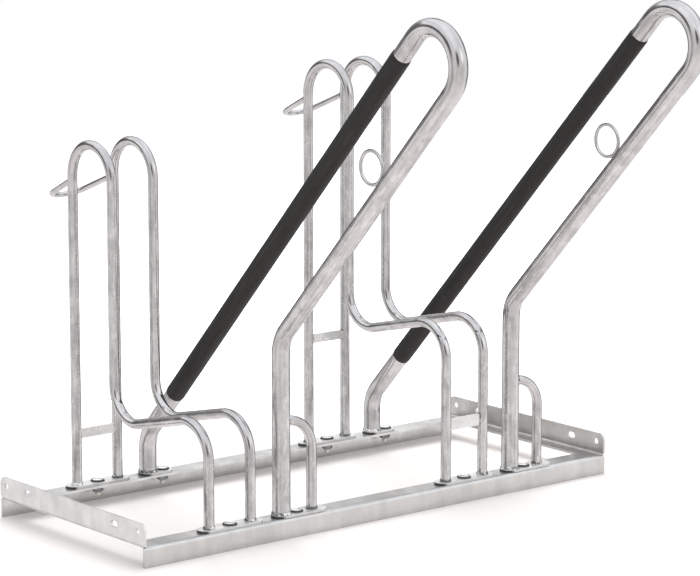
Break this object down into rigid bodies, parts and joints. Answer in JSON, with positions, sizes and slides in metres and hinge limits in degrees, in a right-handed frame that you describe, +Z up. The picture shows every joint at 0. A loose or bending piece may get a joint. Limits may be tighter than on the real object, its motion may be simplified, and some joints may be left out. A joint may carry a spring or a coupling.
{
  "type": "two tier bike rack",
  "caption": "Row stand for parking bicycles: hooped wheel holders on a low and a high level, each with a slanted lean-on bow and lock ring, bolted on a welded angle base.",
  "frame": {"origin": "on the floor, under the middle of the whole rack's box", "axes": "+X along the rails, from the low holder to the high one; +Y to the rear, where the wheels' front ends stop; the bows rise towards -Y; +Z up"},
  "size_m": [0.995, 0.9238, 0.8759],
  "materials": {
    "hot_dip_zinc": "hot-dip galvanised, mottled grey with glossy runs",
    "black_sleeve": "matt black shrunk-on sleeve",
    "plated_fasteners": "zinc-plated, brighter than the tubes"
  },
  "bodies": {
    "root": {"front_rail": "hot_dip_zinc", "rear_rail": "hot_dip_zinc", "left_end_angle": "hot_dip_zinc", "right_end_angle": "hot_dip_zinc", "low_holder_left_bar": "hot_dip_zinc", "low_holder_right_bar": "hot_dip_zinc", "low_holder_cross_bar": "hot_dip_zinc", "low_holder_stop_loop": "hot_dip_zinc", "low_holder_front_plate": "hot_dip_zinc", "low_holder_rear_plate": "hot_dip_zinc", "high_holder_left_bar": "hot_dip_zinc", "high_holder_right_bar": "hot_dip_zinc", "high_holder_cross_bar": "hot_dip_zinc", "high_holder_front_cross_bar": "hot_dip_zinc", "high_holder_stop_loop": "hot_dip_zinc", "high_holder_front_plate": "hot_dip_zinc", "high_holder_rear_plate": "hot_dip_zinc", "left_lean_bow": "hot_dip_zinc", "left_lock_ring": "hot_dip_zinc", "left_bow_brace": "hot_dip_zinc", "left_bow_front_plate": "hot_dip_zinc", "left_bow_rear_plate": "hot_dip_zinc", "right_lean_bow": "hot_dip_zinc", "right_lock_ring": "hot_dip_zinc", "right_bow_brace": "hot_dip_zinc", "right_bow_front_plate": "hot_dip_zinc", "right_bow_rear_plate": "hot_dip_zinc", "left_bow_sleeve": "black_sleeve", "right_bow_sleeve": "black_sleeve", "carriage_bolts": "plated_fasteners", "washers": "plated_fasteners", "nuts": "plated_fasteners"}
  },
  "joints": []
}
